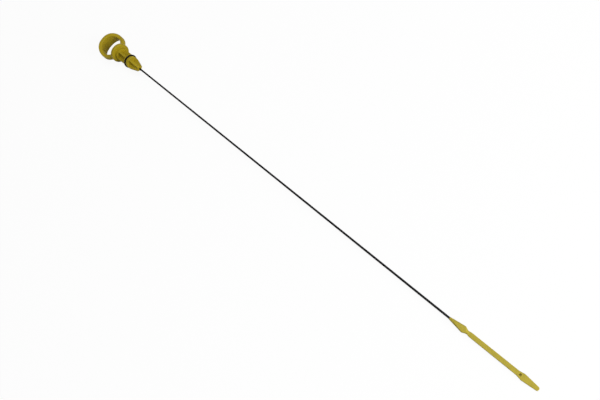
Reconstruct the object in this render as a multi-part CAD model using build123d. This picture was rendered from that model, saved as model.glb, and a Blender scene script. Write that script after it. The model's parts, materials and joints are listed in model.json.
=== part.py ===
from build123d import *
from math import asin, atan2, degrees, hypot, tan
import os

# Engine oil dipstick: a moulded handle with a finger loop, an O-ring, a steel wire and a
# moulded measuring tip. All sizes are in millimetres.
#
# The pieces are modelled along the stick. X runs from the handle to the tip, X = 0 is the
# flange's seating face on the stick's axis, and Z is the axis of the finger loop. The whole
# stick is then pitched to lie on the flange's rim and the widest part of the tip's paddle.

# Finger loop: a slightly oval band, slim where it meets the flange and flaring to a deep crown
loop_outer_r = 16.2
loop_spread = 0.75
loop_band = 4.3
loop_root_depth = 6.0
loop_crown_depth = 16.2
loop_flare_start = 1.0
loop_flare_length = 15.4
loop_flare_r = 14.0
loop_edge_r = 0.8
loop_sink = 2.4

# O-ring and its gland
oring_bore = 12.0
oring_section = 2.5
oring_stretch = 0.12
oring_side_gap = 0.3
groove_depth = 1.38
rear_land = 2.2
front_land = 3.5
land_edge = 0.3

# Flange that seats on the mouth of the dipstick tube
flange_thick = 4.2
flange_edge_r = 0.7
seat_width = 2.3

# Saddle that carries the loop on the flange
saddle_margin = 2.5
saddle_depth = 9.4
saddle_top_width = 14.0
saddle_top_depth = 7.0
saddle_corner_r = 1.5

# Finned stem and nose
collar_length = 4.0
stem_length = 17.9
fin_relief = 0.2
fin_thick = 2.4
fin_root_r = 0.8
core_wall = 1.5
nose_lead = 2.3
nose_taper = 12.9
nose_tip_r = 3.75
nose_blend_r = 14.0
nose_edge_r = 1.2

# Wire
wire_r = 1.0
wire_exposed = 467.9
wire_in_handle = 30.0
wire_in_tip = 15.0

# Measuring tip: lengths of its stretches, from where the wire enters to the end
arrow_length = 14.3
shoulder_length = 3.0
neck_length = 4.0
blade_length = 46.1
swell_length = 4.8
paddle_length = 14.3

# Measuring tip: half widths, thicknesses and roundings
mouth_wall = 0.25
arrow_half = 3.25
arrow_thick = 4.0
neck_half = 1.9
neck_runout = 6.0
blade_half = 2.15
blade_thick = 2.5
paddle_half = 3.05
end_half = 1.65
end_flat = 0.25
end_thick = 1.5
thinning_r = 30.0
tip_edge_r = 0.5
arrow_r = 2.2
neck_r = 2.5
blade_r = 5.0
mark_pit_r = 1.1
mark_pit_depth = 1.9
mark_pit_setback = 2.5

# Radii that follow from the sizes above
loop_inner_r = loop_outer_r - loop_band
groove_r = oring_bore / 2 + oring_stretch
oring_centre_r = (oring_bore + oring_section) / 2
land_r = groove_r + groove_depth
flange_r = oring_bore / 2 + oring_section + seat_width + flange_edge_r
fin_r = land_r - fin_relief
core_r = wire_r + core_wall

# Places along the stick
loop_x = loop_sink - flange_thick - loop_outer_r
fin_x = -flange_thick / 2
groove_width = oring_section + 2 * oring_side_gap
groove_x = stem_length + rear_land
gland_end_x = groove_x + groove_width + front_land
taper_x = gland_end_x + nose_lead
nose_x = taper_x + nose_taper
tip_x = nose_x + wire_exposed
arrow_x = tip_x + arrow_length
neck_x = arrow_x + shoulder_length
blade_x = neck_x + neck_length
swell_x = blade_x + blade_length
paddle_x = swell_x + swell_length
tip_end_x = paddle_x + paddle_length


def disc(x, thick, radius):
    """Round disc across the stick, from x towards the tip."""
    return extrude(Plane.YZ.offset(x) * Circle(radius), amount=thick)


def half_outline(points, radii):
    """Face between the axis and an outline beside it, whose corners are rounded."""
    outline = FilletPolyline(*points, radius=radii)
    first, last = points[0], points[-1]
    closing = Polyline(last, (first[0], 0), first)
    return make_face([outline, closing])


def rims(body):
    """Edges at the top and the bottom of a body's upright walls."""
    walls = [face for face in body.faces() if abs(face.normal_at().Z) < 0.01]
    edges = [edge for wall in walls for edge in wall.edges()]
    return [edge for edge in edges if abs(edge.tangent_at(0).Z) < 0.99]


def finger_loop():
    """Oval ring along Z, trimmed above and below to its flaring side outline, with rounded edges."""
    outside = SlotCenterToCenter(loop_spread, 2 * loop_outer_r, rotation=90)
    inside = SlotCenterToCenter(loop_spread, 2 * loop_inner_r, rotation=90)
    band = extrude(Pos(loop_x, 0) * (outside - inside), amount=loop_crown_depth, both=True)
    reach = 2 * loop_outer_r
    flare_x = loop_x + loop_flare_start
    upper_half = half_outline(
        [
            (loop_x + reach, loop_root_depth / 2),
            (flare_x, loop_root_depth / 2),
            (flare_x - loop_flare_length, loop_crown_depth / 2),
            (loop_x - reach, loop_crown_depth / 2),
            (loop_x - reach, 0),
        ],
        [loop_flare_r, loop_flare_r, loop_edge_r],
    )
    side = upper_half + mirror(upper_half, about=Plane.XZ)
    loop = band & extrude(Plane.XZ * side, amount=reach + loop_spread, both=True)
    return fillet(rims(loop), loop_edge_r)


def saddle():
    """Drafted block from the flange's back into the lowest part of the loop's band."""
    height = 0.8 * (loop_band - loop_sink)
    foot_width = 2 * (flange_r - saddle_margin)
    top_corner_r = min(saddle_corner_r, 0.45 * saddle_top_depth)
    foot = RectangleRounded(foot_width, saddle_depth, saddle_corner_r)
    top = RectangleRounded(saddle_top_width, saddle_top_depth, top_corner_r)
    foot_plane = Plane.YZ.offset(-flange_thick)
    return loft([foot_plane * foot, foot_plane.offset(-height) * top])


def flange():
    """Disc with rounded edges, whose front is the seat."""
    plate = disc(-flange_thick, flange_thick, flange_r)
    return fillet(plate.edges().filter_by(GeomType.CIRCLE), flange_edge_r)


def fin_section():
    """Cross of two fins on a round core, rounded at the fins' roots."""
    span = 2 * land_r
    cross = Rectangle(span, fin_thick) + Rectangle(fin_thick, span) + Circle(core_r)
    roots = [corner for corner in cross.vertices() if hypot(corner.X, corner.Y) < fin_r]
    return fillet(roots, fin_root_r)


def fin_envelope():
    """Turned outline of the fins: a straight stem, then a taper to the nose."""
    outline = half_outline(
        [(fin_x, fin_r), (taper_x, fin_r), (nose_x, nose_tip_r), (nose_x, 0)],
        [nose_blend_r, nose_edge_r],
    )
    return revolve(outline, axis=Axis.X)


def collar():
    """Round collar between the flange and the fins, with a chamfered front edge."""
    body = disc(fin_x, collar_length - fin_x, land_r)
    front = body.edges().filter_by(GeomType.CIRCLE).sort_by(Axis.X)[-1]
    return chamfer(front, land_edge)


def gland():
    """Cylinder with chamfered ends, from which the groove leaves two lands."""
    body = disc(stem_length, gland_end_x - stem_length, land_r)
    return chamfer(body.edges().filter_by(GeomType.CIRCLE), land_edge)


def handle():
    """The whole moulding, with the O-ring's groove and the wire's blind bore."""
    fins = extrude(Plane.YZ.offset(fin_x) * fin_section(), amount=nose_x - fin_x)
    groove = disc(groove_x, groove_width, 2 * land_r) - disc(groove_x, groove_width, groove_r)
    shank = (fins & fin_envelope()) + collar() + gland() - groove
    body = flange() + saddle() + finger_loop() + shank
    return body - disc(nose_x - wire_in_handle, wire_in_handle, wire_r)


def o_ring():
    """Round section, flattened a little where it grips the floor of the groove."""
    section = Pos(groove_x + groove_width / 2, oring_centre_r) * Circle(oring_section / 2)
    return revolve(section, axis=Axis.X) - disc(groove_x, groove_width, groove_r)


def wire():
    """Straight round wire, from the end of one bore to the end of the other."""
    start_x = nose_x - wire_in_handle
    return disc(start_x, tip_x + wire_in_tip - start_x, wire_r)


def arrowhead():
    """Turned cone with a rounded shoulder and a neck that runs out into the blade.

    It is flattened above and below.
    """
    runout_x = neck_x + neck_runout
    outline = half_outline(
        [
            (tip_x, wire_r + mouth_wall),
            (arrow_x, arrow_half),
            (neck_x, neck_half),
            (runout_x, blade_thick / 2 - tip_edge_r),
            (runout_x, 0),
        ],
        [arrow_r, neck_r, tip_edge_r / 2],
    )
    from_mouth = (Align.MIN, Align.CENTER, Align.CENTER)
    slab = Box(tip_end_x - tip_x, 2 * arrow_half, arrow_thick, align=from_mouth)
    return revolve(outline, axis=Axis.X) & Pos(tip_x, 0, 0) * slab


def blade():
    """Flat blade that widens to a paddle, which thins to a round end, with rounded edges."""
    start_half = (neck_half**2 - (blade_thick / 2) ** 2) ** 0.5
    outline = half_outline(
        [
            (neck_x, start_half),
            (blade_x, blade_half),
            (swell_x, blade_half),
            (paddle_x, paddle_half),
            (tip_end_x, end_half),
            (tip_end_x, 0),
        ],
        [blade_r, blade_r, blade_r, end_half - end_flat],
    )
    plan = outline + mirror(outline, about=Plane.XZ)
    beyond_x = tip_end_x + paddle_length / 2
    beyond_half = end_thick / 2 - (blade_thick - end_thick) / 4
    upper_half = half_outline(
        [
            (tip_x, blade_thick / 2),
            (paddle_x, blade_thick / 2),
            (beyond_x, beyond_half),
            (beyond_x, 0),
        ],
        [thinning_r, beyond_half / 2],
    )
    side = upper_half + mirror(upper_half, about=Plane.XZ)
    flat = extrude(plan, amount=blade_thick, both=True)
    body = flat & extrude(Plane.XZ * side, amount=2 * paddle_half, both=True)
    return fillet(rims(body), tip_edge_r)


def measuring_tip():
    """The whole moulding, with the mark's pit in its upper face and the wire's blind bore."""
    mark = Plane.XY.offset(blade_thick / 2) * Pos(paddle_x - mark_pit_setback, 0) * Circle(mark_pit_r)
    pit = extrude(mark, amount=-mark_pit_depth)
    return arrowhead() + blade() - pit - disc(tip_x, wire_in_tip, wire_r)


def rest_pitch():
    """Turn about Y that brings the flange's rim and the paddle down to one plane.

    Seen from the side, both contacts are arcs: the rim's rounded edge, and the bend in the
    paddle's underside where it starts to thin. The plane is their common tangent from below.
    """
    rim_x, rim_z = -flange_edge_r, flange_edge_r - flange_r
    bend = atan2((blade_thick - end_thick) / 2, paddle_length)
    bend_x, bend_z = paddle_x - thinning_r * tan(bend / 2), thinning_r - blade_thick / 2
    reach = hypot(bend_x - rim_x, bend_z - rim_z)
    slope = atan2(bend_z - rim_z, bend_x - rim_x)
    return degrees(slope - asin((thinning_r - flange_edge_r) / reach))


pieces = {
    "handle": handle(),
    "o_ring": o_ring(),
    "wire": wire(),
    "measuring_tip": measuring_tip(),
}

# Lay the stick down, with the origin under the middle of its box
lie = Rot(0, rest_pitch(), 0)
box = Compound([lie * piece for piece in pieces.values()]).bounding_box()
place = Pos(-box.center().X, -box.center().Y, -box.min.Z) * lie

os.makedirs("parts", exist_ok=True)
for name, piece in pieces.items():
    export_step(place * piece, f"parts/{name}.step")
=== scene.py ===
"""Engine oil dipstick: finishes for its four pieces, and a pale stage with lamps and a camera.

All lengths are in metres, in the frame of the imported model: X runs along the lying stick from
the handle to the measuring tip, and Z is up from the floor.
"""

import json
from math import cos, radians, sin

import bpy
from bpy.props import FloatProperty, FloatVectorProperty, PointerProperty
from mathutils import Matrix, Vector

bl_info = {
    "name": "Engine Oil Dipstick",
    "version": (1, 0, 0),
    "blender": (4, 5, 0),
    "location": "3D View > Sidebar > Dipstick",
    "description": "Moulded plastic, rubber and steel finishes for an oil dipstick on a pale stage",
    "category": "Material",
}

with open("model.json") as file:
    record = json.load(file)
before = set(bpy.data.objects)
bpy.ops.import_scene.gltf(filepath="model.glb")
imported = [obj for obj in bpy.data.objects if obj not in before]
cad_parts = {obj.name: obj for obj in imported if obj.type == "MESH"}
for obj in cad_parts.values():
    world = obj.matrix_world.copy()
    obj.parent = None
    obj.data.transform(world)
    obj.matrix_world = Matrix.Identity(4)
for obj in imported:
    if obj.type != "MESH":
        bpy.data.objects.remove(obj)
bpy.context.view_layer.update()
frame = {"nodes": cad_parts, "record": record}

# The stick's own axes, and the middle of the flange's seat
seat = next(mount for mount in frame["record"]["mounts"] if mount["name"] == "flange_seat")
ALONG = Vector(seat["axis"]).normalized()
ACROSS = Vector((0.0, 1.0, 0.0))
ABOVE = ALONG.cross(ACROSS)
SEAT_CENTRE = Vector((seat["pos_m"][0], 0.0, seat["pos_m"][2]))

# Rays that see the white of the backdrop
SEEN_BY = ("Is Camera Ray", "Is Glossy Ray", "Is Transmission Ray")
WHITE = (1.0, 1.0, 1.0, 1.0)

# The frame's origin, on the floor under the middle of the stick
FLOOR_MIDDLE = Vector((0.0, 0.0, 0.0))
SENSOR_WIDTH = 36.0

# Sockets of a Mix node that mixes colours, by their place in its lists
MIX_SHARE = 0
MIX_FIRST = 6
MIX_SECOND = 7
MIX_RESULT = 2

# Middle of the range of a noise
NOISE_MIDDLE = 0.5

# Moulded plastic: contrast of the colour drift, then what the grain and the parting line do
# to the roughness
DRIFT_CONTRAST = 1.6
GRAIN_ROUGHNESS = 0.16
LINE_POLISH = 0.08

# The tip is paler than the handle, and a little more mottled
TIP_COLOUR = (0.448, 0.363, 0.042)
TIP_DRIFT = 0.1
TIP_DRIFT_SIZE = 0.004

# Rubber: what the bloom does to the roughness
BLOOM_ROUGHNESS = 0.2

# Steel: share of the drawn lines in the colour, its darkest and lightest shade, then what the lines do
# to the roughness
DRAWN_SHARE = 0.6
DARK_STEEL = 0.7
LIGHT_STEEL = 1.4
DRAWN_ROUGHNESS = 0.3


class Output:
    """A node's output. Arithmetic on outputs that carry a number adds Math nodes."""

    def __init__(self, sheet, socket):
        self.sheet = sheet
        self.socket = socket

    def math(self, operation, *values):
        """A Math node on the values."""
        sockets = dict(enumerate(values))
        return self.sheet.node("ShaderNodeMath", {"operation": operation}, sockets)

    def __add__(self, other):
        return self.math("ADD", self, other)

    def __radd__(self, other):
        return self.math("ADD", other, self)

    def __sub__(self, other):
        return self.math("SUBTRACT", self, other)

    def __rsub__(self, other):
        return self.math("SUBTRACT", other, self)

    def __mul__(self, other):
        return self.math("MULTIPLY", self, other)

    def __rmul__(self, other):
        return self.math("MULTIPLY", other, self)

    def __abs__(self):
        return self.math("ABSOLUTE", self)

    def fade(self, full, none):
        """1 at the value full, falling smoothly to 0 at the value none."""
        return self.sheet.node(
            "ShaderNodeMapRange",
            {"interpolation_type": "SMOOTHSTEP"},
            {"Value": self, "From Min": none, "From Max": full},
        )


class NodeSheet:
    """The nodes of one material or world, which are added one by one."""

    def __init__(self, owner):
        owner.use_nodes = True
        self.tree = owner.node_tree
        self.tree.nodes.clear()

    def node(self, kind, settings, sockets, output=0):
        """Adds a node, makes its settings, then fills or links its sockets."""
        node = self.tree.nodes.new(kind)
        for name, value in settings.items():
            setattr(node, name, value)
        for key, value in sockets.items():
            if isinstance(value, Output):
                self.tree.links.new(value.socket, node.inputs[key])
            else:
                node.inputs[key].default_value = value
        return Output(self, node.outputs[output]) if len(node.outputs) else None

    def place(self):
        """The point being shaded, in metres in the model's frame."""
        return self.node("ShaderNodeTexCoord", {}, {}, "Object")

    def reach(self, place, origin, direction):
        """How far a place lies from an origin along a direction, in metres."""
        offset = self.node("ShaderNodeVectorMath", {"operation": "SUBTRACT"}, {0: place, 1: origin})
        settings = {"operation": "DOT_PRODUCT"}
        return self.node("ShaderNodeVectorMath", settings, {0: offset, 1: direction}, "Value")

    def noise(self, place, feature, detail):
        """Noise from 0 to 1 whose blotches are about as wide as feature."""
        sockets = {"Vector": place, "Scale": 1 / feature, "Detail": detail}
        return self.node("ShaderNodeTexNoise", {}, sockets)

    def mix(self, share, first, second):
        """Colour that goes from first to second as share goes from 0 to 1."""
        sockets = {MIX_SHARE: share, MIX_FIRST: first, MIX_SECOND: second}
        return self.node("ShaderNodeMix", {"data_type": "RGBA"}, sockets, MIX_RESULT)

    def bump(self, height, depth, normal=None):
        """Normal of a surface raised by depth metres where height is 1."""
        sockets = {"Height": height, "Distance": depth, "Strength": 1.0}
        if normal:
            sockets["Normal"] = normal
        return self.node("ShaderNodeBump", {}, sockets)

    def seen(self):
        """1 where a ray comes from the camera, a reflection or a view through glass, else 0."""
        camera, glossy, through = [self.node("ShaderNodeLightPath", {}, {}, name) for name in SEEN_BY]
        return camera.math("MAXIMUM", camera.math("MAXIMUM", camera, glossy), through)

    def surface(self, sockets):
        """Ends a material with one Principled shader."""
        shader = self.node("ShaderNodeBsdfPrincipled", {}, sockets)
        self.node("ShaderNodeOutputMaterial", {}, {"Surface": shader})


def solid(colour, shade=1.0):
    """A colour as four numbers for a socket, with its light multiplied by shade."""
    return (colour[0] * shade, colour[1] * shade, colour[2] * shade, 1.0)


def dress(node_name, material):
    """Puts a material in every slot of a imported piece."""
    piece = frame["nodes"][node_name]
    if not piece.data.materials:
        raise RuntimeError(f"{node_name} has no material slot")
    for index in range(len(piece.data.materials)):
        piece.data.materials[index] = material


def moulded_plastic(name, look):
    """Satin plastic from a mould in two halves.

    Its colour drifts a little, the mould's fine grain covers it, and a low line runs round it
    where the two halves met.
    """
    material = bpy.data.materials.new(name)
    sheet = NodeSheet(material)
    place = sheet.place()
    drift = sheet.noise(place, look.drift_size, detail=3.0)
    grain = sheet.noise(place, look.grain_size, detail=2.0)
    above = sheet.reach(place, SEAT_CENTRE, ABOVE)
    line = abs(above).fade(0.0, look.line_width)
    tone = (drift - NOISE_MIDDLE) * DRIFT_CONTRAST + NOISE_MIDDLE
    dark = solid(look.colour, 1 - look.drift)
    light = solid(look.colour, 1 + look.drift)
    grained = sheet.bump(grain, look.grain_height)
    sheet.surface({
        "Base Color": sheet.mix(tone, dark, light),
        "Roughness": look.roughness + (grain - NOISE_MIDDLE) * GRAIN_ROUGHNESS - line * LINE_POLISH,
        "Specular IOR Level": look.gloss,
        "Normal": sheet.bump(line, look.line_height, grained),
    })
    return material


def seal_rubber(look):
    """Smooth black rubber with a faint bloom and fine specks."""
    material = bpy.data.materials.new("seal_rubber")
    sheet = NodeSheet(material)
    place = sheet.place()
    bloom = sheet.noise(place, look.bloom_size, detail=3.0)
    speck = sheet.noise(place, look.speck_size, detail=1.0)
    sheet.surface({
        "Base Color": sheet.mix(bloom, solid(look.colour), solid(look.bloom)),
        "Roughness": look.roughness + (bloom - NOISE_MIDDLE) * BLOOM_ROUGHNESS,
        "Specular IOR Level": look.gloss,
        "Normal": sheet.bump(speck, look.speck_height),
    })
    return material


def drawn_steel(look):
    """Dark steel wire, with the fine lines along it that drawing through a die leaves."""
    material = bpy.data.materials.new("drawn_steel")
    sheet = NodeSheet(material)
    place = sheet.place()
    stretch = {"operation": "MULTIPLY"}
    along_the_wire = (look.line_width / look.line_length, 1.0, 1.0)
    streaks = sheet.node("ShaderNodeVectorMath", stretch, {0: place, 1: along_the_wire})
    line = sheet.noise(streaks, look.line_width, detail=2.0)
    blotch = sheet.noise(place, look.blotch_size, detail=3.0)
    tone = line * DRAWN_SHARE + blotch * (1 - DRAWN_SHARE)
    dark = solid(look.colour, DARK_STEEL)
    light = solid(look.colour, LIGHT_STEEL)
    sheet.surface({
        "Base Color": sheet.mix(tone, dark, light),
        "Metallic": 1.0,
        "Specular Tint": solid(WHITE, look.edge),
        "Roughness": look.roughness + (line - NOISE_MIDDLE) * DRAWN_ROUGHNESS,
        "Normal": sheet.bump(line, look.line_height),
    })
    return material


class MouldedPlasticLook(bpy.types.PropertyGroup):
    """Colour and surface of a moulded plastic piece."""

    colour: FloatVectorProperty(
        name="Colour",
        description="Colour of the plastic",
        subtype="COLOR",
        size=3,
        min=0.0,
        max=1.0,
        default=(0.365, 0.271, 0.01),
    )
    drift: FloatProperty(
        name="Colour drift",
        description="Share by which the colour gets lighter and darker over the piece",
        subtype="FACTOR",
        min=0.0,
        max=0.5,
        default=0.06,
    )
    drift_size: FloatProperty(
        name="Drift size",
        description="Width of the lighter and darker places",
        unit="LENGTH",
        min=0.001,
        default=0.009,
    )
    roughness: FloatProperty(
        name="Roughness",
        description="Roughness of the satin surface",
        subtype="FACTOR",
        min=0.0,
        max=1.0,
        default=0.52,
    )
    gloss: FloatProperty(
        name="Gloss",
        description="Strength of the reflection at the surface",
        subtype="FACTOR",
        min=0.0,
        max=1.0,
        default=0.14,
    )
    grain_size: FloatProperty(
        name="Grain size",
        description="Width of the fine grain that the mould leaves",
        unit="LENGTH",
        min=0.00001,
        default=0.00035,
    )
    grain_height: FloatProperty(
        name="Grain height",
        description="Height of the fine grain",
        unit="LENGTH",
        min=0.0,
        default=0.00002,
    )
    line_width: FloatProperty(
        name="Parting line width",
        description="Half width of the line where the mould's halves met",
        unit="LENGTH",
        min=0.00001,
        default=0.00012,
    )
    line_height: FloatProperty(
        name="Parting line height",
        description="Height of the line where the mould's halves met",
        unit="LENGTH",
        min=0.0,
        default=0.00005,
    )


class SealRubberLook(bpy.types.PropertyGroup):
    """Colour and surface of the O-ring."""

    colour: FloatVectorProperty(
        name="Colour",
        description="Colour of the clean rubber",
        subtype="COLOR",
        size=3,
        min=0.0,
        max=1.0,
        default=(0.002, 0.0019, 0.0016),
    )
    bloom: FloatVectorProperty(
        name="Bloom",
        description="Colour where the rubber has a faint bloom",
        subtype="COLOR",
        size=3,
        min=0.0,
        max=1.0,
        default=(0.005, 0.0048, 0.0042),
    )
    bloom_size: FloatProperty(
        name="Bloom size",
        description="Width of the places with a bloom",
        unit="LENGTH",
        min=0.0001,
        default=0.003,
    )
    speck_size: FloatProperty(
        name="Speck size",
        description="Width of the fine specks",
        unit="LENGTH",
        min=0.00001,
        default=0.00012,
    )
    speck_height: FloatProperty(
        name="Speck height",
        description="Height of the fine specks",
        unit="LENGTH",
        min=0.0,
        default=0.000006,
    )
    roughness: FloatProperty(
        name="Roughness",
        description="Roughness of the rubber",
        subtype="FACTOR",
        min=0.0,
        max=1.0,
        default=0.62,
    )
    gloss: FloatProperty(
        name="Gloss",
        description="Strength of the reflection at the surface",
        subtype="FACTOR",
        min=0.0,
        max=1.0,
        default=0.05,
    )


class DrawnSteelLook(bpy.types.PropertyGroup):
    """Colour and surface of the wire."""

    colour: FloatVectorProperty(
        name="Colour",
        description="Colour that the dark steel reflects",
        subtype="COLOR",
        size=3,
        min=0.0,
        max=1.0,
        default=(0.012, 0.012, 0.0125),
    )
    edge: FloatProperty(
        name="Edge",
        description="Share of bare steel's reflection that the dull skin leaves at grazing angles",
        subtype="FACTOR",
        min=0.0,
        max=1.0,
        default=0.4,
    )
    roughness: FloatProperty(
        name="Roughness",
        description="Roughness between the drawn lines",
        subtype="FACTOR",
        min=0.0,
        max=1.0,
        default=0.42,
    )
    line_width: FloatProperty(
        name="Line width",
        description="Width of the drawn lines",
        unit="LENGTH",
        min=0.00001,
        default=0.00009,
    )
    line_length: FloatProperty(
        name="Line length",
        description="Length of the drawn lines",
        unit="LENGTH",
        min=0.0001,
        default=0.02,
    )
    line_height: FloatProperty(
        name="Line height",
        description="Height of the drawn lines",
        unit="LENGTH",
        min=0.0,
        default=0.000008,
    )
    blotch_size: FloatProperty(
        name="Blotch size",
        description="Width of the lighter and darker places along the wire",
        unit="LENGTH",
        min=0.0001,
        default=0.006,
    )


class StageLook(bpy.types.PropertyGroup):
    """Floor, lamps and camera."""

    floor_size: FloatProperty(
        name="Floor size",
        description="Length of each side of the floor",
        unit="LENGTH",
        min=1.0,
        default=12.0,
    )
    floor_colour: FloatVectorProperty(
        name="Floor colour",
        description="Colour of the floor in the light that it throws back",
        subtype="COLOR",
        size=3,
        min=0.0,
        max=1.0,
        default=(0.45, 0.45, 0.45),
    )
    floor_white: FloatProperty(
        name="White of the floor",
        description="Share of plain white in the floor as the camera sees it; the rest shows shadows",
        subtype="FACTOR",
        min=0.0,
        max=1.0,
        default=0.92,
    )
    sky: FloatProperty(
        name="Sky",
        description="Strength of the even light from all round",
        min=0.0,
        default=0.27,
    )
    lamp_size: FloatProperty(
        name="Lamp size",
        description="Width of each large soft lamp",
        unit="LENGTH",
        min=0.01,
        default=1.0,
    )
    lamp_distance: FloatProperty(
        name="Lamp distance",
        description="Distance of each lamp from the floor under the middle of the stick",
        unit="LENGTH",
        min=0.1,
        default=1.8,
    )
    front_strength: FloatProperty(
        name="Front lamp",
        description="Strength of the low lamp off the tip's end",
        unit="POWER",
        min=0.0,
        default=26.0,
    )
    front_azimuth: FloatProperty(
        name="Front lamp azimuth",
        description="Direction of the front lamp round the object, from +X towards +Y",
        subtype="ANGLE",
        default=radians(15.0),
    )
    front_elevation: FloatProperty(
        name="Front lamp elevation",
        description="Height of the front lamp above the horizon",
        subtype="ANGLE",
        default=radians(20.0),
    )
    top_strength: FloatProperty(
        name="Top lamp",
        description="Strength of the lamp overhead",
        unit="POWER",
        min=0.0,
        default=11.5,
    )
    top_azimuth: FloatProperty(
        name="Top lamp azimuth",
        description="Direction of the top lamp round the object, from +X towards +Y",
        subtype="ANGLE",
        default=radians(60.0),
    )
    top_elevation: FloatProperty(
        name="Top lamp elevation",
        description="Height of the top lamp above the horizon",
        subtype="ANGLE",
        default=radians(75.0),
    )
    lens: FloatProperty(
        name="Lens",
        description="Focal length in millimetres on a sensor 36 millimetres wide",
        min=1.0,
        default=39.0,
    )
    camera_aim: FloatVectorProperty(
        name="Camera aim",
        description="Point at the middle of the picture",
        subtype="XYZ",
        unit="LENGTH",
        size=3,
        default=(0.045312, -0.001751, 0.005772),
    )
    camera_distance: FloatProperty(
        name="Camera distance",
        description="Distance of the camera from its aim",
        unit="LENGTH",
        min=0.01,
        default=0.633237,
    )
    camera_azimuth: FloatProperty(
        name="Camera azimuth",
        description="Direction of the camera round the object, from +X towards +Y",
        subtype="ANGLE",
        default=radians(-4.728),
    )
    camera_elevation: FloatProperty(
        name="Camera elevation",
        description="Height of the camera above the horizon",
        subtype="ANGLE",
        default=radians(59.113),
    )
    camera_roll: FloatProperty(
        name="Camera roll",
        description="Turn of the camera about its own line of sight",
        subtype="ANGLE",
        default=radians(-45.630),
    )


class DipstickLook(bpy.types.PropertyGroup):
    """All finishes of the dipstick, and its stage."""

    handle: PointerProperty(type=MouldedPlasticLook)
    o_ring: PointerProperty(type=SealRubberLook)
    wire: PointerProperty(type=DrawnSteelLook)
    measuring_tip: PointerProperty(type=MouldedPlasticLook)
    stage: PointerProperty(type=StageLook)


def outward(azimuth, elevation):
    """Direction from the object to something that stands round and above it."""
    flat = cos(elevation)
    return Vector((flat * cos(azimuth), flat * sin(azimuth), sin(elevation)))


def stand(thing, aim, direction, distance, roll=0.0):
    """Stands a lamp or a camera at a distance from its aim, facing it."""
    turn = direction.to_track_quat("Z", "Y").to_matrix().to_4x4()
    place = Matrix.Translation(aim + direction * distance)
    thing.matrix_world = place @ turn @ Matrix.Rotation(roll, 4, "Z")


def link(name, data):
    """A new object in the scene."""
    thing = bpy.data.objects.new(name, data)
    bpy.context.scene.collection.objects.link(thing)
    return thing


def pale_floor(look):
    """Pale floor that the camera sees as white, with the object's shadow on it.

    It throws less light back at the object than a white floor would.
    """
    half = look.floor_size / 2
    corners = [(-half, -half, 0.0), (half, -half, 0.0), (half, half, 0.0), (-half, half, 0.0)]
    mesh = bpy.data.meshes.new("floor")
    mesh.from_pydata(corners, [], [(0, 1, 2, 3)])
    material = bpy.data.materials.new("pale_floor")
    sheet = NodeSheet(material)
    seen = sheet.seen()
    colour = sheet.mix(seen, solid(look.floor_colour), WHITE)
    paint = sheet.node("ShaderNodeBsdfDiffuse", {}, {"Color": colour})
    white = sheet.node("ShaderNodeEmission", {}, {"Color": WHITE, "Strength": 1.0})
    share = seen * look.floor_white
    surface = sheet.node("ShaderNodeMixShader", {}, {0: share, 1: paint, 2: white})
    sheet.node("ShaderNodeOutputMaterial", {}, {"Surface": surface})
    mesh.materials.append(material)
    floor = link("floor", mesh)


def even_sky(look):
    """Even light from all round, which the camera and reflections see as white."""
    world = bpy.data.worlds.new("even_sky")
    sheet = NodeSheet(world)
    strength = look.sky + sheet.seen() * (1 - look.sky)
    background = sheet.node("ShaderNodeBackground", {}, {"Color": WHITE, "Strength": strength})
    sheet.node("ShaderNodeOutputWorld", {}, {"Surface": background})
    bpy.context.scene.world = world


def soft_lamp(name, strength, direction, look):
    """One large soft lamp, which faces the floor under the middle of the stick."""
    data = bpy.data.lights.new(name, "AREA")
    data.energy = strength
    data.shape = "DISK"
    data.size = look.lamp_size
    stand(link(name, data), FLOOR_MIDDLE, direction, look.lamp_distance)


def photo_camera(look):
    """Camera at the photograph's viewing angle."""
    data = bpy.data.cameras.new("photo_camera")
    data.sensor_width = SENSOR_WIDTH
    data.lens = look.lens
    camera = link("photo_camera", data)
    direction = outward(look.camera_azimuth, look.camera_elevation)
    stand(camera, Vector(look.camera_aim), direction, look.camera_distance, look.camera_roll)
    bpy.context.scene.camera = camera


class DIPSTICK_OT_handle(bpy.types.Operator):
    """Gives the moulded handle its satin plastic"""

    bl_idname = "dipstick.handle"
    bl_label = "Finish the Handle"

    def execute(self, context):
        dress("handle", moulded_plastic("handle_plastic_satin", context.scene.dipstick.handle))
        return {"FINISHED"}


class DIPSTICK_OT_o_ring(bpy.types.Operator):
    """Gives the O-ring its black rubber"""

    bl_idname = "dipstick.o_ring"
    bl_label = "Finish the O-ring"

    def execute(self, context):
        dress("o_ring", seal_rubber(context.scene.dipstick.o_ring))
        return {"FINISHED"}


class DIPSTICK_OT_wire(bpy.types.Operator):
    """Gives the wire its dark drawn steel"""

    bl_idname = "dipstick.wire"
    bl_label = "Finish the Wire"

    def execute(self, context):
        dress("wire", drawn_steel(context.scene.dipstick.wire))
        return {"FINISHED"}


class DIPSTICK_OT_measuring_tip(bpy.types.Operator):
    """Gives the measuring tip its satin plastic"""

    bl_idname = "dipstick.measuring_tip"
    bl_label = "Finish the Measuring Tip"

    def execute(self, context):
        look = context.scene.dipstick.measuring_tip
        dress("measuring_tip", moulded_plastic("tip_plastic_satin", look))
        return {"FINISHED"}


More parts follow.
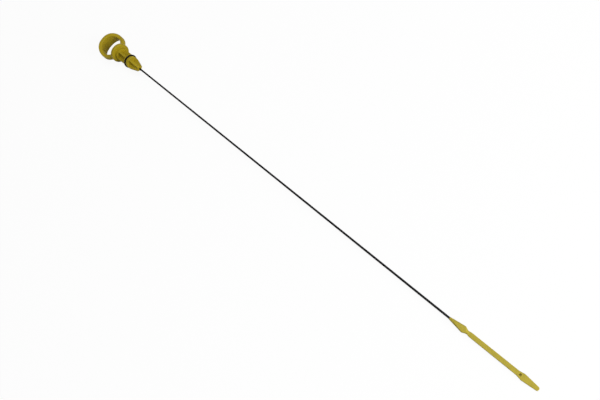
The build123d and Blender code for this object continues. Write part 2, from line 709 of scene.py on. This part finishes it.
class DIPSTICK_OT_stage(bpy.types.Operator):
    """Sets up the floor, the light and the camera"""

    bl_idname = "dipstick.stage"
    bl_label = "Set the Stage"

    def execute(self, context):
        look = context.scene.dipstick.stage
        pale_floor(look)
        even_sky(look)
        front = outward(look.front_azimuth, look.front_elevation)
        overhead = outward(look.top_azimuth, look.top_elevation)
        soft_lamp("front_lamp", look.front_strength, front, look)
        soft_lamp("top_lamp", look.top_strength, overhead, look)
        photo_camera(look)
        context.scene.view_settings.view_transform = "Standard"
        return {"FINISHED"}


OPERATORS = (
    DIPSTICK_OT_handle,
    DIPSTICK_OT_o_ring,
    DIPSTICK_OT_wire,
    DIPSTICK_OT_measuring_tip,
    DIPSTICK_OT_stage,
)


class DIPSTICK_PT_pieces(bpy.types.Panel):
    """Lists the dipstick's pieces and its stage"""

    bl_idname = "DIPSTICK_PT_pieces"
    bl_label = "Dipstick"
    bl_space_type = "VIEW_3D"
    bl_region_type = "UI"
    bl_category = "Dipstick"

    def draw(self, context):
        for operator in OPERATORS:
            name = operator.bl_idname.split(".")[1]
            look = getattr(context.scene.dipstick, name)
            box = self.layout.box()
            box.operator(operator.bl_idname)
            for prop in look.bl_rna.properties:
                if prop.identifier not in ("rna_type", "name"):
                    box.prop(look, prop.identifier)


CLASSES = (
    MouldedPlasticLook,
    SealRubberLook,
    DrawnSteelLook,
    StageLook,
    DipstickLook,
    *OPERATORS,
    DIPSTICK_PT_pieces,
)


def register():
    """Makes the classes known, and gives the scene its settings."""
    for item in CLASSES:
        bpy.utils.register_class(item)
    bpy.types.Scene.dipstick = PointerProperty(type=DipstickLook)


def unregister():
    """Takes the settings and the classes away again."""
    del bpy.types.Scene.dipstick
    for item in reversed(CLASSES):
        bpy.utils.unregister_class(item)


def main():
    """Finishes each piece and sets the stage."""
    register()
    tip = bpy.context.scene.dipstick.measuring_tip
    tip.colour = TIP_COLOUR
    tip.drift = TIP_DRIFT
    tip.drift_size = TIP_DRIFT_SIZE
    bpy.ops.dipstick.handle()
    bpy.ops.dipstick.o_ring()
    bpy.ops.dipstick.wire()
    bpy.ops.dipstick.measuring_tip()
    bpy.ops.dipstick.stage()


if __name__ == "__main__":
    main()
